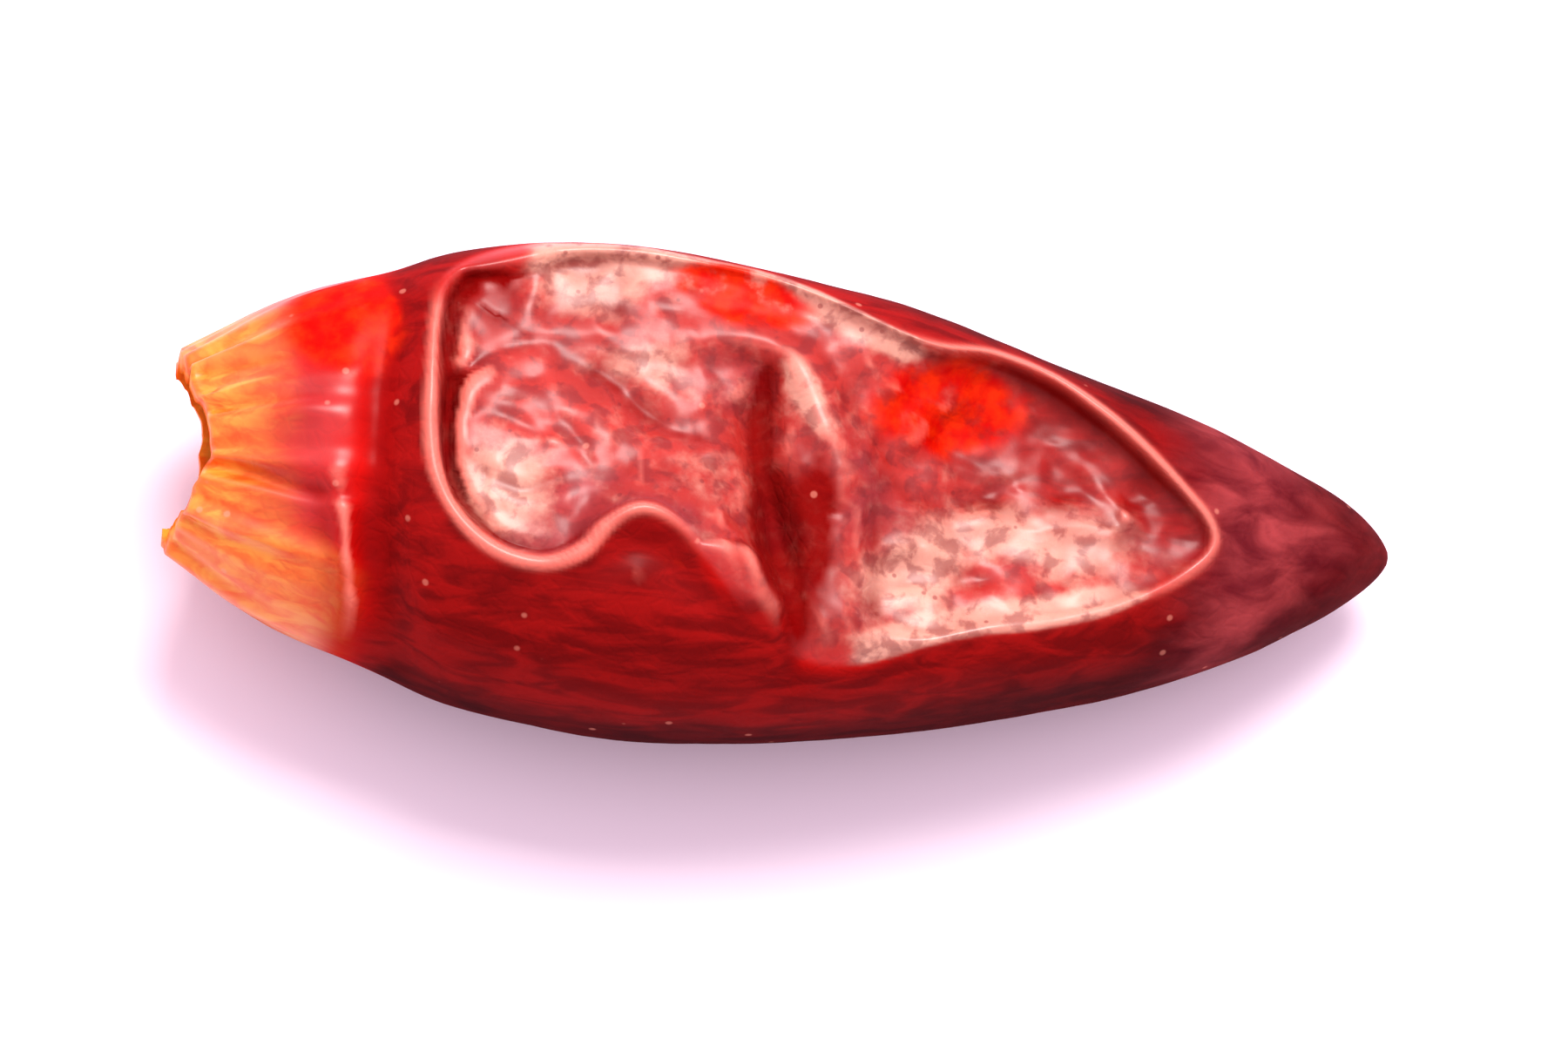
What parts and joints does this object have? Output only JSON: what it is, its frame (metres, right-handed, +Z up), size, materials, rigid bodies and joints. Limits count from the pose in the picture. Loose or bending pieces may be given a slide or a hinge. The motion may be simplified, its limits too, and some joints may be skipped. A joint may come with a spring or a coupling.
{
  "type": "dried chilli pepper",
  "caption": "Small whole dried chilli pod lying on its side, with a collapsed creased top, a pointed dark tip and an open torn stem end.",
  "frame": {"origin": "on the surface that the pod rests on, under the middle of the pod's box", "axes": "+X runs along the pod from its torn stem end to its tip, +Z points up from the rest surface to the collapsed top"},
  "size_m": [0.025, 0.01, 0.0074],
  "materials": {
    "dried_skin": "half-gloss creased dried skin, deep red with maroon walls and tip, orange at the torn stem end"
  },
  "bodies": {
    "root": {"chilli_pod": "dried_skin"}
  },
  "joints": []
}
